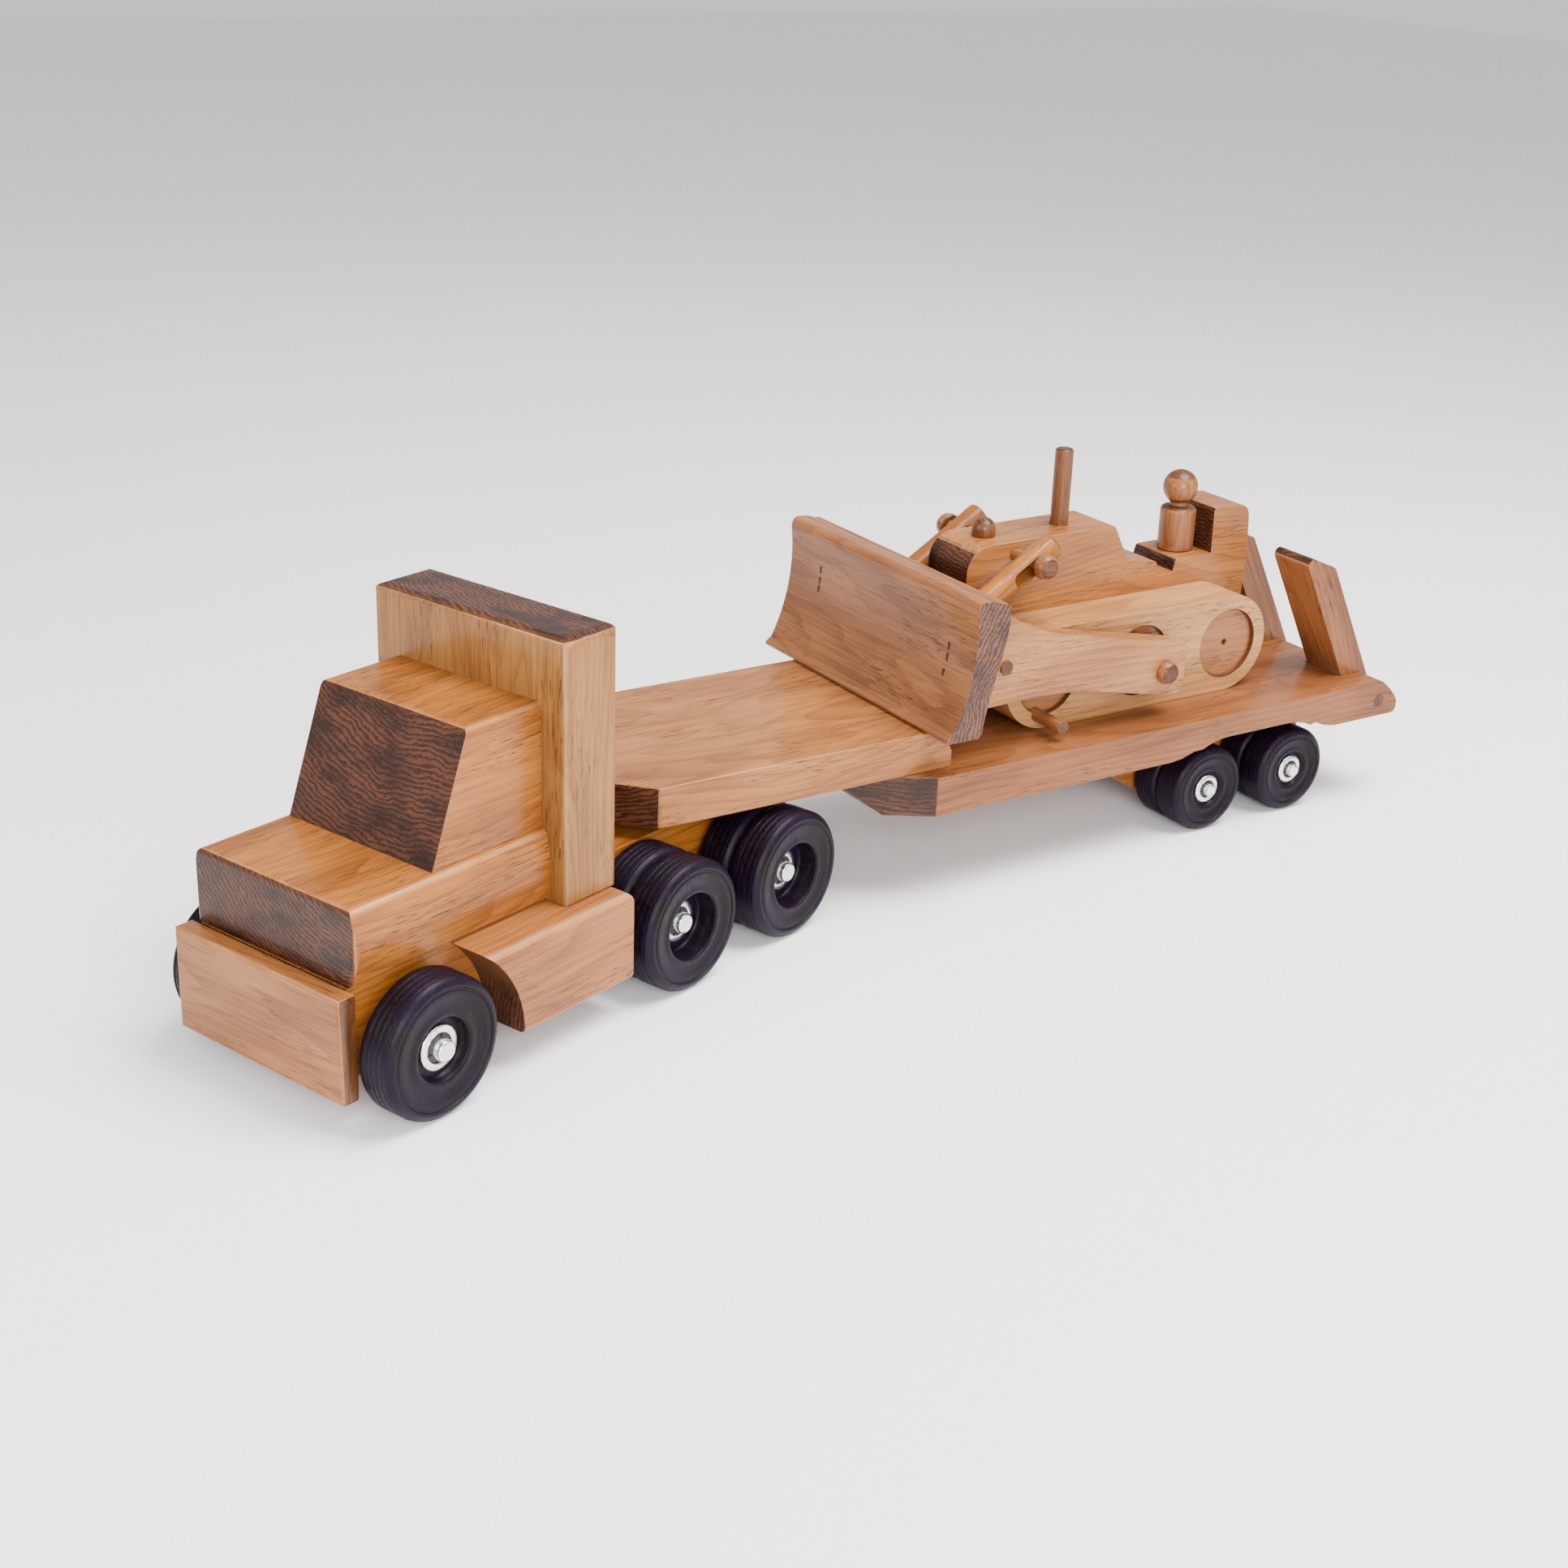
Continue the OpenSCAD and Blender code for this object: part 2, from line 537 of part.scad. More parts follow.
// turned peg along y: a shank from y0 to y1 and a domed head beyond y1
module peg(x, z, r, y0, y1, head_r, head_h, side) {
  translate([x, side * y0, z]) rotate([side > 0 ? -90 : 90, 0, 0]) rotate_extrude()
    polygon([[0, 0], [r, 0], [r, y1 - y0], [head_r - 0.8, y1 - y0], [head_r, y1 - y0 + 0.8],
      [head_r, y1 - y0 + head_h * 0.4], [head_r * 0.93, y1 - y0 + head_h * 0.66],
      [head_r * 0.76, y1 - y0 + head_h * 0.88], [head_r * 0.5, y1 - y0 + head_h], [0, y1 - y0 + head_h]]);
}
module arm_pegs() color(dowel) dozer_frame() for (s = [-1, 1])
  peg(arm_x, arm_z, peg_r, track_y1 - 12, arm_y0 + arm_t + 0.3, 5.6, 5.6, s);
module ram_pegs() color(dowel) dozer_frame() for (s = [-1, 1])
  peg(ram_peg_x, ram_peg_z, ram_peg_r, body_w / 2 - 11, 36.4, 6, 6.8, s);

// dowels across the arms' front ends
module arm_dowels() color(dowel) dozer_frame() for (s = [-1, 1])
  bar(-141.7, 105.5, peg_r, s > 0 ? arm_y0 - 0.4 : -arm_y0 - arm_t - 1.4,
      s > 0 ? arm_y0 + arm_t + 1.4 : -arm_y0 + 0.4);

// pins that carry the rams' lower ends, glued into the inner faces of the arms
module ram_pins() color(dowel) dozer_frame() for (s = [-1, 1])
  bar(ram_x, ram_z, peg_r, s > 0 ? ram_y - 7.4 : -arm_y0 - 7.9, s > 0 ? arm_y0 + 7.9 : -ram_y + 7.4);

// pegs under the arms that stop them when the blade is down
module stop_pegs() color(dowel) dozer_frame() for (s = [-1, 1])
  bar(-176.6, 70.4, peg_r, s > 0 ? track_y1 - 10 : -track_y1 - 20, s > 0 ? track_y1 + 20 : -track_y1 + 10);

// lift ram: a dowel slotted at its upper end for the peg in the bonnet
module ram(side) color(amber) dozer_frame() {
  dx = ram_peg_x - ram_x;
  dz = ram_peg_z - ram_z;
  len = sqrt(dx * dx + dz * dz);
  a = atan2(dz, dx);
  translate([ram_x, side * ram_y, ram_z]) rotate([0, -a, 0]) difference() {
    translate([-5.2, 0, 0]) rotate([0, 90, 0]) rotate_extrude() polygon([[0, 0], [ram_d / 2 - 1.8, 0],
      [ram_d / 2 - 0.5, 0.7], [ram_d / 2, 2], [ram_d / 2, len + 17.6], [ram_d / 2 - 0.6, len + 18.4],
      [0, len + 18.4]]);
    bar(0, 0, peg_r + run_gap, -20, 20);
    block([len - ram_travel, -20, -ram_slot], [len + 0.3, 20, ram_slot]);
    bar(len - ram_travel, 0, ram_slot, -20, 20);
    bar(len + 0.3, 0, ram_slot, -20, 20);
  }
}
module ram_left() ram(1);
module ram_right() ram(-1);

// ---- nodes ----

chassis();
bumper();
hood();
cab();
sleeper();
tank(1);  // tank_left
tank(-1);  // tank_right
hitch_spacer();
axle_front();
axle_drive_front();
axle_drive_rear();
push_nuts_tractor();
nut_stars_tractor();
front_wheel(1);  // wheel_front_left
front_wheel(-1);  // wheel_front_right
drive_wheel(0, 1, true);  // wheel_drive_front_left_outer
drive_wheel(0, 1, false);  // wheel_drive_front_left_inner
drive_wheel(0, -1, true);  // wheel_drive_front_right_outer
drive_wheel(0, -1, false);  // wheel_drive_front_right_inner
drive_wheel(1, 1, true);  // wheel_drive_rear_left_outer
drive_wheel(1, 1, false);  // wheel_drive_rear_left_inner
drive_wheel(1, -1, true);  // wheel_drive_rear_right_outer
drive_wheel(1, -1, false);  // wheel_drive_rear_right_inner
gooseneck_deck();
main_deck();
kingpin();
bogie_block();
axle_trailer_front();
axle_trailer_rear();
push_nuts_trailer();
nut_stars_trailer();
small_wheel(0, 1, true);  // wheel_trailer_front_left_outer
small_wheel(0, 1, false);  // wheel_trailer_front_left_inner
small_wheel(0, -1, true);  // wheel_trailer_front_right_outer
small_wheel(0, -1, false);  // wheel_trailer_front_right_inner
small_wheel(1, 1, true);  // wheel_trailer_rear_left_outer
small_wheel(1, 1, false);  // wheel_trailer_rear_left_inner
small_wheel(1, -1, true);  // wheel_trailer_rear_right_outer
small_wheel(1, -1, false);  // wheel_trailer_rear_right_inner
ramp_dowel();
ramp_left();
ramp_right();
dozer_body();
track_left();
track_right();
exhaust_stack();
radiator_cap();
driver();
blade();
arm_left();
arm_right();
arm_pegs();
arm_dowels();
ram_left();
ram_right();
ram_pegs();
ram_pins();
stop_pegs();
staples();
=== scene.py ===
"""Looks of a wooden toy lorry with a low-loader trailer and a bulldozer.

Every piece comes from the frame. This script gives each one its material, softens the sawn edges
and sets the stage, the light and the camera.
"""
import bpy
import json
import math
from mathutils import Matrix, Vector


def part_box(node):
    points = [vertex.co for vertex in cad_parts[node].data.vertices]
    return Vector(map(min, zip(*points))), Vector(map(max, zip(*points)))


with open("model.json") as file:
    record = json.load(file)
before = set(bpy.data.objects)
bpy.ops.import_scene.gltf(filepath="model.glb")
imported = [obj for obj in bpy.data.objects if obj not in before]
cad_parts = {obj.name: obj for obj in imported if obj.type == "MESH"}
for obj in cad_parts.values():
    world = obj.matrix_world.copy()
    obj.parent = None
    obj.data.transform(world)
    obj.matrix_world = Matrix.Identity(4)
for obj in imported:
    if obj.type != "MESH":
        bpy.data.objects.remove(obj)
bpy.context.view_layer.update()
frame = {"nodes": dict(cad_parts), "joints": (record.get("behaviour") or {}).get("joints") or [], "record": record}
NODES = frame["nodes"]
JOINTS = {joint["name"]: joint for joint in frame["joints"]}
TRACTOR = set(frame["record"]["behaviour"]["bodies"]["tractor"])

MM = 1000                                        # millimetres in a metre
X, Y, Z = (1, 0, 0), (0, 1, 0), (0, 0, 1)
KINGPIN = Vector(JOINTS["hitch_turn"]["pos_m"][:2] + [0.0])      # its foot on the ground
TRACTOR_AXLE = Vector(JOINTS["front_left_spin"]["axis"])
TRAILER_AXLE = Vector(Y)
YAW = math.atan2(-TRACTOR_AXLE.x, TRACTOR_AXLE.y)                # how far the tractor unit is turned


# ---------------------------------------------------------------- node helpers
class Tree:
    """Short forms for building a node tree."""

    def __init__(self, tree):
        self.t = tree

    def add(self, kind, **props):
        n = self.t.nodes.new("ShaderNode" + kind)
        for k, v in props.items():
            setattr(n, k, v)
        return n

    def put(self, socket, value):
        if hasattr(value, "is_output"):
            self.t.links.new(value, socket)
        else:
            socket.default_value = value

    def math(self, op, a, b=None, clamp=False):
        n = self.add("Math", operation=op, use_clamp=clamp)
        self.put(n.inputs[0], a)
        if b is not None:
            self.put(n.inputs[1], b)
        return n.outputs[0]

    def plus(self, a, b):
        return self.math("ADD", a, b)

    def times(self, a, b):
        return self.math("MULTIPLY", a, b)

    def span(self, v, lo, hi, a=0.0, b=1.0):
        """Goes smoothly from a to b as v goes from lo to hi."""
        n = self.add("MapRange", clamp=True, interpolation_type="SMOOTHSTEP")
        for i, x in enumerate((v, lo, hi, a, b)):
            self.put(n.inputs[i], x)
        return n.outputs[0]

    def noise(self, vec, scale, detail=2.0, rough=0.5):
        n = self.add("TexNoise")
        self.put(n.inputs["Vector"], vec)
        for k, v in (("Scale", scale), ("Detail", detail), ("Roughness", rough)):
            n.inputs[k].default_value = v
        return n.outputs["Fac"]

    def drawn(self, vec, per_mm, detail=2.0, rough=0.5):
        """Noise stretched by direction: per_mm is how fast it changes along X, Y and Z."""
        return self.noise(self.vmath("MULTIPLY", vec, per_mm), 1.0, detail, rough)

    def mix(self, fac, a, b, mode="MIX"):
        n = self.add("Mix", data_type="RGBA", blend_type=mode, clamp_factor=True)
        self.put(n.inputs[0], fac)
        self.put(n.inputs[6], a)
        self.put(n.inputs[7], b)
        return n.outputs[2]

    def vmath(self, op, a, b):
        n = self.add("VectorMath", operation=op)
        self.put(n.inputs[0], a)
        self.put(n.inputs[1], b)
        return n.outputs[0]

    def dot(self, a, b):
        n = self.add("VectorMath", operation="DOT_PRODUCT")
        self.put(n.inputs[0], a)
        self.put(n.inputs[1], b)
        return n.outputs["Value"]

    def length(self, a, b):
        return self.math("SQRT", self.plus(self.times(a, a), self.times(b, b)))

    def split(self, v):
        n = self.add("SeparateXYZ")
        self.put(n.inputs[0], v)
        return n.outputs

    def join(self, x, y, z):
        n = self.add("CombineXYZ")
        for i, v in enumerate((x, y, z)):
            self.put(n.inputs[i], v)
        return n.outputs[0]


def rgb(r, g, b):
    return (r, g, b, 1.0)


def group(name, ins, outs):
    g = bpy.data.node_groups.new(name, "ShaderNodeTree")
    for n, kind, value in ins:
        s = g.interface.new_socket(n, in_out="INPUT", socket_type="NodeSocket" + kind)
        if value is not None:
            s.default_value = value
    for n, kind in outs:
        g.interface.new_socket(n, in_out="OUTPUT", socket_type="NodeSocket" + kind)
    i = g.nodes.new("NodeGroupInput")
    o = g.nodes.new("NodeGroupOutput")
    return Tree(g), i.outputs, o.inputs


def principled(name, coat=0.0, coat_rough=0.1, metal=0.0, specular=0.5):
    m = bpy.data.materials.new(name)
    m.use_nodes = True
    b = m.node_tree.nodes["Principled BSDF"]
    b.inputs["Metallic"].default_value = metal
    b.inputs["IOR"].default_value = 1.5
    b.inputs["Specular IOR Level"].default_value = specular
    b.inputs["Coat Weight"].default_value = coat
    b.inputs["Coat Roughness"].default_value = coat_rough
    return m, Tree(m.node_tree), b


def bump(t, b, height, mm, strength):
    n = t.add("Bump")
    n.inputs["Strength"].default_value = strength
    n.inputs["Distance"].default_value = mm / MM
    t.put(n.inputs["Height"], height)
    t.put(b.inputs["Normal"], n.outputs[0])


# ---------------------------------------------------------------- lacquered board
RING = 4.6                                       # spacing of the growth rings on long faces, mm
END_RING = 2.1                                   # spacing of the rings on faces across the grain, mm
PORE_TONE = rgb(0.024, 0.0070, 0.0028)
# the rubbed tone is partly edge wear and partly a painted highlight on the eased edges
RUBBED_AND_HIGHLIGHT_TONE = rgb(0.62, 0.40, 0.23)
RUB_AND_HIGHLIGHT = 0.42                                       # how strongly an eased edge shows the rubbed tone, which is partly wear and partly a painted highlight
DISC = 0.712                                     # a track disc's radius as a share of the track's end


def long_faces(t, i, p, rad, fine):
    """Faces along the grain: streaks, pores and a drifting tone."""
    slow = t.drawn(p, (0.006, 0.03, 0.03), 1.0)
    bend = t.plus(t.times(slow, 46.0), t.times(fine, 3.2))
    saw = t.math("FRACT", t.math("DIVIDE", t.plus(rad, bend), RING))
    late = t.times(t.math("POWER", saw, 2.4), t.span(saw, 0.93, 1.0, 1.0, 0.0))
    fibre = t.drawn(p, (0.025, 1.1, 1.1), 3.0, 0.6)
    silk = t.drawn(p, (0.05, 3.4, 3.4))
    patch = t.drawn(p, (0.012, 0.045, 0.045), 2.0, 0.55)
    where = t.span(t.drawn(p, (0.02, 0.05, 0.05), 1.0), 0.42, 0.62)
    pores = t.times(t.span(t.drawn(p, (0.11, 1.7, 1.7), 1.0), 0.60, 0.66), where)
    pores = t.times(pores, i["Pores"])
    tone = t.plus(t.times(late, 0.50), t.times(t.span(fibre, 0.38, 0.68), 0.46))
    tone = t.plus(tone, t.times(t.span(patch, 0.38, 0.66), 0.50))
    tone = t.math("ADD", tone, t.times(t.math("SUBTRACT", silk, 0.5), 0.55), clamp=True)
    face = t.mix(tone, i["Light"], i["Deep"])
    face = t.mix(t.times(pores, 0.72), face, PORE_TONE)
    return face, fibre, silk, pores


def cross_faces(t, i, p, rad):
    """Faces across the grain: broken wavy rings in dark brown, with specks."""
    wave = t.plus(t.times(t.drawn(p, (0.05, 0.15, 0.40), 2.0, 0.6), 3.4),
                  t.times(t.drawn(p, (0.1, 0.55, 1.5), 2.0, 0.65), 1.5))
    wave = t.plus(t.times(t.drawn(p, (0.02, 0.035, 0.035)), 11.0), wave)
    turn = t.math("FRACT", t.math("DIVIDE", t.plus(rad, wave), END_RING))
    band = t.times(t.span(turn, 0.10, 0.50), t.span(turn, 0.70, 0.98, 1.0, 0.0))
    speck = t.drawn(p, (0.2, 2.0, 2.6), 2.0, 0.7)
    blot = t.drawn(p, (0.03, 0.045, 0.11), 3.0)
    clear = t.span(t.plus(t.times(speck, 0.55), t.times(blot, 0.6)), 0.42, 0.64)
    end = t.mix(t.times(t.plus(0.12, t.times(band, 0.88)), clear), i["End dark"], i["End light"])
    end = t.mix(t.times(t.span(speck, 0.58, 0.70), 0.8), end, i["End dark"])
    return end, speck


def board_group():
    """A sawn board in millimetres: grain along X, rings about a heart off to one side."""
    t, i, o = group("lacquered_board", [
        ("Place", "Vector", None), ("Normal", "Vector", None),
        ("Light", "Color", None), ("Deep", "Color", None),
        ("End light", "Color", rgb(0.084, 0.025, 0.0090)),
        ("End dark", "Color", rgb(0.0060, 0.0014, 0.0007)),
        ("End", "Float", 1.0), ("Edges", "Float", 1.0), ("Pores", "Float", 1.0),
        ("Cut", "Float", 0.6),
    ], [("Colour", "Color"), ("Roughness", "Float"), ("Height", "Float")])
    p = i["Place"]
    _, y, z = t.split(p)
    rad = t.length(y, z)
    fine = t.drawn(p, (0.02, 0.16, 0.16))
    face, fibre, silk, pores = long_faces(t, i, p, rad, fine)
    end, speck = cross_faces(t, i, p, rad)
    ax, ay, az = (t.math("ABSOLUTE", v) for v in t.split(i["Normal"]))
    ragged = t.plus(ax, t.times(t.math("SUBTRACT", fine, 0.5), 0.16))
    cross = t.span(ragged, t.math("SUBTRACT", i["Cut"], 0.05), t.plus(i["Cut"], 0.07))
    cross = t.times(cross, i["End"])
    # rubbed edges, partly wear and partly a painted highlight: a lighter tone wherever the surface faces none of
    # the board's own directions
    top = t.math("MAXIMUM", ax, t.math("MAXIMUM", ay, az))
    rub_and_highlight = t.times(t.span(top, 0.80, 0.985, 1.0, 0.0), i["Edges"])
    rub_and_highlight = t.times(rub_and_highlight, t.span(t.drawn(p, (0.05, 0.07, 0.07)), 0.20, 0.60))
    rim = t.mix(cross, t.mix(0.45, i["Light"], RUBBED_AND_HIGHLIGHT_TONE), t.mix(0.5, i["Deep"], i["End light"]))
    t.put(o["Colour"], t.mix(t.times(rub_and_highlight, RUB_AND_HIGHLIGHT), t.mix(cross, face, end), rim))
    rough = t.plus(0.27, t.times(t.drawn(p, (0.03, 0.07, 0.07), 3.0), 0.14))
    rough = t.plus(rough, t.times(pores, 0.12))
    rough = t.plus(rough, t.times(cross, 0.08))
    t.put(o["Roughness"], t.math("SUBTRACT", rough, t.times(rub_and_highlight, 0.07)))
    height = t.plus(t.times(fibre, 0.4), t.times(silk, 0.25))
    height = t.math("SUBTRACT", height, t.times(pores, 0.8))
    t.put(o["Height"], t.plus(height, t.times(t.times(speck, cross), 0.5)))
    return t.t


BOARD = board_group()


def stain_and_shade_discs(t, place, colour, discs):
    """Darkens the floors of bored discs, which took more stain, and paints shade in the corner round their rims
    and in their centre marks.
    """
    # the first tone is the extra stain on the floors, the second is painted shade for the rim corners and centre
    # marks
    floor_tone, painted_shade_tone = rgb(0.66, 0.52, 0.44), rgb(0.24, 0.15, 0.12)
    x, _, z = t.split(place)
    for cx, cz, r in discs:
        d = t.length(t.math("SUBTRACT", x, cx), t.math("SUBTRACT", z, cz))
        inside = t.span(d, r + 0.0001, r + 0.0003, 1.0, 0.0)
        corner = t.span(d, r - 0.0014, r - 0.0001)
        centre = t.span(d, 0.0010, 0.0026, 1.0, 0.0)
        tone = t.mix(t.math("MAXIMUM", corner, centre), floor_tone, painted_shade_tone)
        colour = t.mix(inside, colour, t.mix(1.0, colour, tone, "MULTIPLY"))
    return colour


def track_discs(node):
    """The three discs of a track block, from the block's own box."""
    lo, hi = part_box(node)
    end = (hi[2] - lo[2]) / 2
    places = (lo[0] + end, (lo[0] + hi[0]) / 2, hi[0] - end)
    return [(x, (lo[2] + hi[2]) / 2, DISC * end) for x in places]


def wood(name, grain, up, heart, yaw=0.0, discs=None, **settings):
    """grain and up are directions in the board's own frame, heart the ring centre's offset in mm.

    discs is a list of (x, z, radius) in metres, whose floors took more stain and whose rims get
    painted shade. settings are the board group's inputs, in small letters with _ for a space.
    """
    m, t, b = principled(name, coat=0.15, coat_rough=0.08, specular=0.20)
    g = Vector(grain).normalized()
    u = (Vector(up) - Vector(up).dot(g) * g).normalized()
    turn = (Matrix((g, u.cross(g), u)) @ Matrix.Rotation(-yaw, 3, "Z")).to_euler("XYZ")
    coords = t.add("TexCoord")
    place = t.add("Mapping", vector_type="POINT")
    place.inputs["Scale"].default_value = (MM, MM, MM)
    place.inputs["Rotation"].default_value = turn
    place.inputs["Location"].default_value = heart
    t.put(place.inputs["Vector"], coords.outputs["Object"])
    normal = t.add("Mapping", vector_type="POINT")
    normal.inputs["Rotation"].default_value = turn
    t.put(normal.inputs["Vector"], coords.outputs["Normal"])
    board = t.add("Group")
    board.node_tree = BOARD
    t.put(board.inputs["Place"], place.outputs[0])
    t.put(board.inputs["Normal"], normal.outputs[0])
    for key, value in settings.items():
        board.inputs[key.replace("_", " ").capitalize()].default_value = value
    colour = board.outputs["Colour"]
    if discs:
        colour = stain_and_shade_discs(t, coords.outputs["Object"], colour, discs)
    t.put(b.inputs["Base Color"], colour)
    t.put(b.inputs["Roughness"], board.outputs["Roughness"])
    bump(t, b, board.outputs["Height"], 0.10, 0.55)
    return m


HONEY = dict(light=rgb(0.325, 0.112, 0.018), deep=rgb(0.160, 0.045, 0.0065))
TAN = dict(light=rgb(0.315, 0.118, 0.031), deep=rgb(0.170, 0.054, 0.0130))
SAND = dict(light=rgb(0.360, 0.155, 0.056), deep=rgb(0.205, 0.076, 0.0240))
GOLD = dict(light=rgb(0.350, 0.138, 0.038), deep=rgb(0.185, 0.062, 0.0155))
PALE = dict(light=rgb(0.430, 0.215, 0.080), deep=rgb(0.270, 0.115, 0.0380))
ROSE = dict(light=rgb(0.270, 0.102, 0.033), deep=rgb(0.140, 0.045, 0.0140))
RUST = dict(light=rgb(0.235, 0.083, 0.026), deep=rgb(0.120, 0.036, 0.0110))
STRAW = dict(light=rgb(0.275, 0.122, 0.031), deep=rgb(0.158, 0.057, 0.0120))
BROWN = dict(light=rgb(0.150, 0.052, 0.017), deep=rgb(0.070, 0.022, 0.0075))

RAMP_GRAIN = (0.4664, 0, 0.8846)                 # along a stored ramp
RAM_GRAIN = (-0.855, 0, 0.5186)                  # along a lift ram

# node: grain, face direction, ring centre's offset in mm, tones
BOARDS = {
    "chassis": (X, Z, (0, 20, -70), HONEY),
    "bumper": (Y, X, (30, 40, -62), TAN),
    "hood": (X, Z, (5, -30, -190), HONEY),
    "cab": (X, Z, (60, 35, -260), HONEY),
    "sleeper": (Z, X, (10, 26, 75), STRAW),
    "tank_left": (X, Y, (15, -12, -120), TAN),
    "tank_right": (X, Y, (25, 20, 90), TAN),
    "gooseneck_deck": (X, Z, (90, 25, -180), GOLD),
    "main_deck": (X, Z, (35, -35, -150), RUST),
    "bogie_block": (X, Z, (50, 10, -80), TAN),
    "ramp_left": (RAMP_GRAIN, Y, (70, 30, -90), RUST),
    "ramp_right": (RAMP_GRAIN, Y, (40, -20, 70), RUST),
    "dozer_body": (X, Y, (22, -90, 60), TAN),
    "track_left": (X, Y, (80, -120, -80), PALE),
    "track_right": (X, Y, (10, -110, 70), PALE),
    "blade": (Y, X, (45, -60, 190), ROSE),
    "arm_left": (X, Y, (64, -150, -90), SAND),
    "arm_right": (X, Y, (31, -140, 90), SAND),
    "ram_left": (RAM_GRAIN, Y, (12, -40, 55), HONEY),
    "ram_right": (RAM_GRAIN, Y, (55, -45, -60), HONEY),
}
# what some boards have besides: weaker end grain or edges, and how steep a face counts as cross cut
EXTRA = {
    "blade": dict(end_light=rgb(0.150, 0.058, 0.028), end_dark=rgb(0.019, 0.008, 0.008),
                  edges=0.0, cut=0.75),
    "bumper": dict(end=0.8),
    "cab": dict(edges=0.7),
    "main_deck": dict(cut=0.42, edges=0.2),
    "gooseneck_deck": dict(edges=0.2),
    "track_left": dict(end=0.0, edges=0.0, discs=track_discs("track_left")),
    "track_right": dict(end=0.0, edges=0.0, discs=track_discs("track_right")),
    "arm_left": dict(edges=0.0, end=0.6),
    "arm_right": dict(edges=0.0, end=0.6),
    "dozer_body": dict(edges=0.3),
    "ram_left": dict(edges=0.0),
    "ram_right": dict(edges=0.0),
}
# pegs and other turned pieces, each with its grain
DOWELS = {"kingpin": Z, "ramp_dowel": Y, "hitch_spacer": Z, "exhaust_stack": Z, "radiator_cap": Z,
          "driver": Z, "arm_pegs": Y, "ram_pegs": Y, "ram_pins": Y, "stop_pegs": Y, "arm_dowels": Y}
DARK_DOWELS = ("exhaust_stack", "radiator_cap")


def paint(node, material):
    slots = NODES[node].data.materials
    slots.clear()
    slots.append(material)


def paint_boards():
    for node, (grain, up, heart, tone) in BOARDS.items():
        yaw = YAW if node in TRACTOR else 0.0
        paint(node, wood("board_" + node, grain, up, heart, yaw, **tone, **EXTRA.get(node, {})))


def paint_dowels():
    for k, (node, axis) in enumerate(DOWELS.items()):
        yaw = YAW if node in TRACTOR else 0.0
        tone = BROWN if node in DARK_DOWELS else ROSE
        paint(node, wood("dowel_" + node, axis, X, (13 * k, -30, 25 + 7 * k), yaw, edges=0.0, end=0.75,
                         pores=0.6, **tone))


# ---------------------------------------------------------------- wheels, steel and wire
def wheel_material(name, centre, axle):
    """Turned wood dyed black: lathe rings about the axle, fine fibres, and a violet cast that is a painted sheen.
    """
    m, t, b = principled(name, coat=0.02, coat_rough=0.2, specular=0.11)
    coords = t.add("TexCoord").outputs["Object"]
    v = t.vmath("MULTIPLY", t.vmath("SUBTRACT", coords, tuple(centre)), (MM, MM, MM))
    along = t.dot(v, tuple(axle))
    across = t.dot(v, tuple(axle.cross(Vector(Z)).normalized()))
    height = t.split(v)[2]
    rad = t.length(across, height)
    q = t.join(across, height, along)
    rings = t.noise(t.join(t.times(rad, 1.5), t.times(along, 1.5), 3.1), 1.0, 2.0, 0.6)
    fibre = t.drawn(q, (0.9, 0.08, 0.9), 3.0, 0.6)
    cloud = t.drawn(q, (0.06, 0.05, 0.08))
    bare = t.drawn(q, (1.6, 0.16, 1.6))
    # the violet and blue tints below are painted sheen; the near black is the dye and the brown patches are bare
    # wood
    col = t.mix(t.span(cloud, 0.35, 0.65), rgb(0.0026, 0.0009, 0.0018), rgb(0.0050, 0.0016, 0.0085))
    col = t.mix(t.times(t.span(fibre, 0.48, 0.72), 0.75), col, rgb(0.0120, 0.0044, 0.0088))
    col = t.mix(t.times(t.span(rings, 0.52, 0.72), 0.5), col, rgb(0.0090, 0.0036, 0.0135))
    col = t.mix(t.times(t.span(bare, 0.66, 0.76), 0.6), col, rgb(0.040, 0.022, 0.022))
    t.put(b.inputs["Base Color"], col)
    t.put(b.inputs["Roughness"], t.plus(0.34, t.times(t.span(fibre, 0.3, 0.7), 0.20)))
    bump(t, b, t.plus(t.times(rings, 0.8), t.times(fibre, 0.5)), 0.18, 0.6)
    return m


def paint_wheels():
    for node in NODES:
        if node.startswith("wheel_"):
            lo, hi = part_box(node)
            centre = (Vector(lo) + Vector(hi)) / 2
            axle = TRAILER_AXLE if "trailer" in node else TRACTOR_AXLE.normalized()
            paint(node, wheel_material("dyed_and_sheen_" + node, centre, axle))


def steel_material():
    m, t, b = principled("bright_steel", metal=1.0)
    v = t.vmath("MULTIPLY", t.add("TexCoord").outputs["Object"], (MM, MM, MM))
    scuff = t.noise(v, 0.9, 3.0, 0.6)
    fine = t.noise(t.vmath("MULTIPLY", v, (1.0, 0.3, 1.0)), 4.4)
    bright, worn = rgb(0.82, 0.83, 0.86), rgb(0.55, 0.54, 0.55)
    t.put(b.inputs["Base Color"], t.mix(t.span(scuff, 0.40, 0.75), bright, worn))
    t.put(b.inputs["Roughness"], t.plus(0.16, t.times(scuff, 0.20)))
    bump(t, b, fine, 0.03, 0.5)
    return m


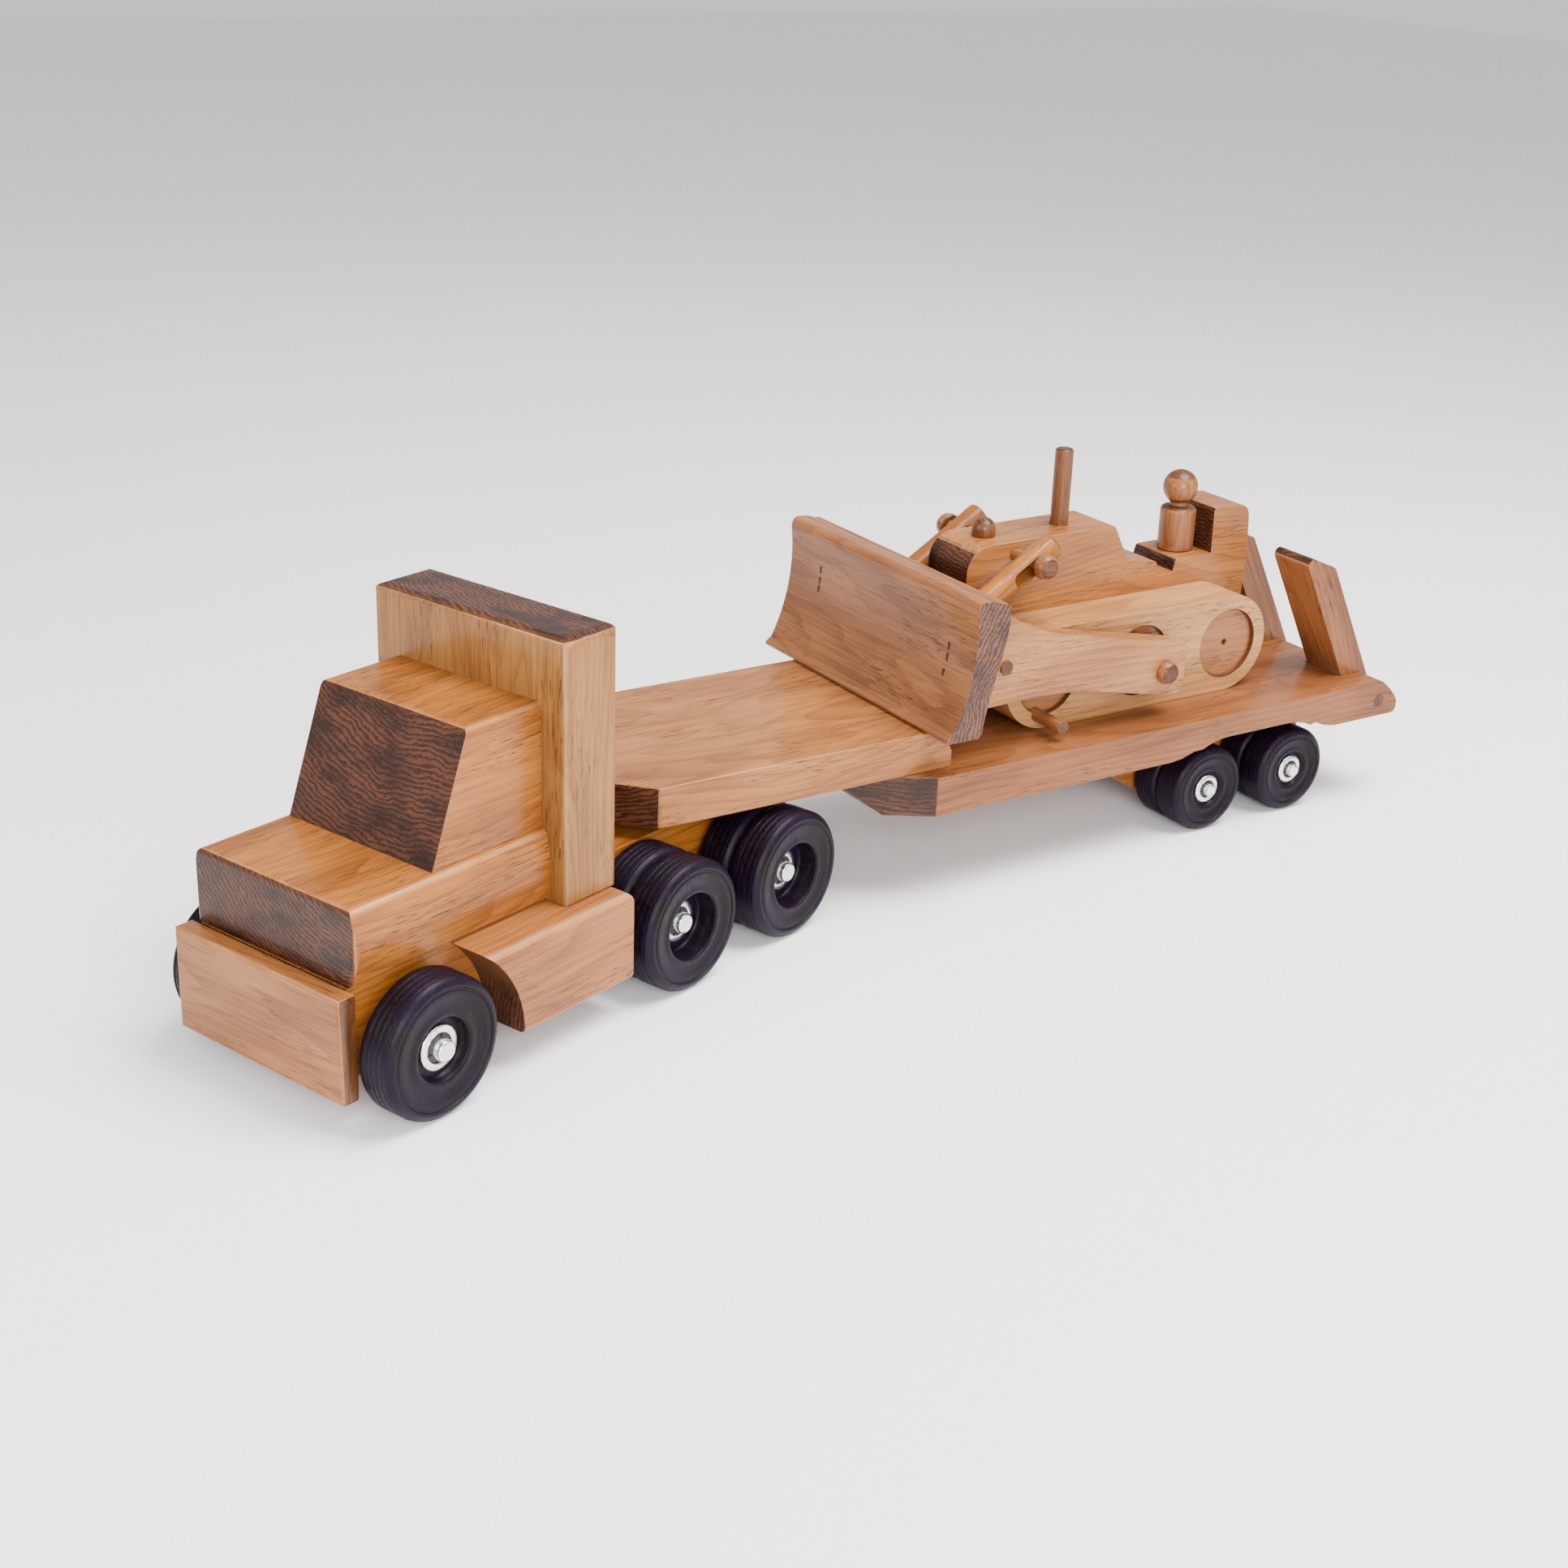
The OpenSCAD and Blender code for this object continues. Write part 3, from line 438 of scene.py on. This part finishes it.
# near black: the staples' own dark wire, and painted shade where it goes on the push nuts' star teeth
def wire_and_shade_material():
    m, t, b = principled("staple_wire", metal=0.6)
    n = t.noise(t.vmath("MULTIPLY", t.add("TexCoord").outputs["Object"], (MM, MM, MM)), 1.2, 3.0)
    t.put(b.inputs["Base Color"], t.mix(n, rgb(0.02, 0.015, 0.014), rgb(0.07, 0.05, 0.045)))
    t.put(b.inputs["Roughness"], t.plus(0.4, t.times(n, 0.3)))
    bump(t, b, n, 0.05, 0.5)
    return m


def paint_metal():
    steel = steel_material()
    wire_and_shade = wire_and_shade_material()
    for node in NODES:
        if node.startswith(("axle_", "push_nuts_")):
            paint(node, steel)
        # the push nuts' star teeth get the near black as painted shade deep inside the nuts
        if node.startswith(("staples", "nut_stars_")):
            paint(node, wire_and_shade)


# ---------------------------------------------------------------- eased edges
# bevel width of each sawn piece in millimetres, 0 where its own shape is eased already
EASE = {"chassis": 1.0, "bumper": 0, "hood": 0, "cab": 0.9, "sleeper": 0, "tank_left": 1.0,
        "tank_right": 1.0, "gooseneck_deck": 0.9, "main_deck": 1.1, "bogie_block": 0.8,
        "ramp_left": 1.0, "ramp_right": 1.0, "dozer_body": 1.3, "track_left": 1.8, "track_right": 1.8,
        "blade": 1.2, "arm_left": 1.1, "arm_right": 1.1, "ram_left": 0.5, "ram_right": 0.5}
SHALLOW = ("cab", "main_deck")                   # pieces whose shallow corners are eased too


def ease(node, width, angle=35.0):
    """Softens a piece's edges with modifiers: the mesh itself stays as the frame gives it."""
    o = NODES[node]
    weld = o.modifiers.new("weld", "WELD")
    weld.merge_threshold = 0.01 / MM
    if width:
        flats = o.modifiers.new("flats", "DECIMATE")
        flats.decimate_type = "DISSOLVE"
        flats.angle_limit = math.radians(0.6)
        bevel = o.modifiers.new("ease", "BEVEL")
        bevel.width = width / MM
        bevel.segments = 3
        bevel.limit_method = "ANGLE"
        bevel.angle_limit = math.radians(angle)
        bevel.harden_normals = False
        bevel.miter_outer = "MITER_ARC"
        bevel.use_clamp_overlap = True
    normals = o.modifiers.new("normals", "WEIGHTED_NORMAL")
    normals.keep_sharp = True
    normals.weight = 60


def ease_all():
    for node in NODES:
        if not node.startswith(("staples", "nut_stars_")):
            ease(node, EASE.get(node, 0), 28.0 if node in SHALLOW else 35.0)


# ---------------------------------------------------------------- stage, light, camera
def set_floor():
    bpy.ops.mesh.primitive_plane_add(size=9, location=(0, 0, -0.2 / MM))
    floor = bpy.context.object
    floor.name = "floor"
    m, t, b = principled("pale_floor")
    n = t.noise(t.add("TexCoord").outputs["Object"], 3.0)
    t.put(b.inputs["Base Color"], t.mix(n, rgb(0.88, 0.88, 0.885), rgb(0.92, 0.92, 0.92)))
    t.put(b.inputs["Roughness"], t.plus(0.75, t.times(n, 0.1)))
    floor.data.materials.append(m)


def set_world():
    world = bpy.data.worlds.new("studio")
    bpy.context.scene.world = world
    world.use_nodes = True
    background = world.node_tree.nodes["Background"]
    background.inputs["Color"].default_value = rgb(1.0, 1.0, 1.0)
    background.inputs["Strength"].default_value = 0.85


def add_lamp(name, at, to, size, watts, colour):
    data = bpy.data.lights.new(name, "AREA")
    data.shape = "RECTANGLE"
    data.size, data.size_y = size
    data.energy = watts
    data.color = colour
    lamp = bpy.data.objects.new(name, data)
    bpy.context.collection.objects.link(lamp)
    lamp.location = at
    lamp.rotation_euler = (Vector(to) - Vector(at)).to_track_quat("-Z", "Y").to_euler()


def set_camera():
    """The photograph's view: azimuth, elevation and roll in degrees, place from the kingpin in metres."""
    azimuth, elevation, roll = (math.radians(a) for a in (146.73483, 22.542974, 2.13987))
    place = KINGPIN + Vector((0.49597, 0.84345, 0.46273))
    level = Vector((math.cos(azimuth), math.sin(azimuth), 0))
    back = Vector((math.sin(azimuth) * math.cos(elevation), -math.cos(azimuth) * math.cos(elevation),
                   math.sin(elevation)))
    up = back.cross(level)
    right = math.cos(roll) * level + math.sin(roll) * up
    up = math.cos(roll) * up - math.sin(roll) * level
    camera = bpy.data.objects.new("camera", bpy.data.cameras.new("camera"))
    bpy.context.collection.objects.link(camera)
    camera.data.sensor_width = 36
    camera.data.lens = 53.3946093
    camera.data.clip_start, camera.data.clip_end = 0.01, 20
    camera.matrix_world = Matrix.Translation(place) @ Matrix((right, up, back)).transposed().to_4x4()
    bpy.context.scene.camera = camera


paint_boards()
paint_dowels()
paint_wheels()
paint_metal()
ease_all()
set_floor()
set_world()
add_lamp("key", at=(-0.35, 0.35, 1.35), to=(0, 0, 0.05), size=(0.9, 0.9), watts=56, colour=(1.0, 0.985, 0.96))
add_lamp("side", at=(0.55, 1.35, 0.6), to=(0, 0, 0.08), size=(1.0, 0.7), watts=33, colour=(0.98, 0.985, 1.0))
add_lamp("fill", at=(1.5, 0.1, 0.7), to=(0.1, 0, 0.08), size=(0.8, 0.8), watts=12, colour=(1.0, 0.98, 0.96))
set_camera()

bpy.context.view_layer.update()
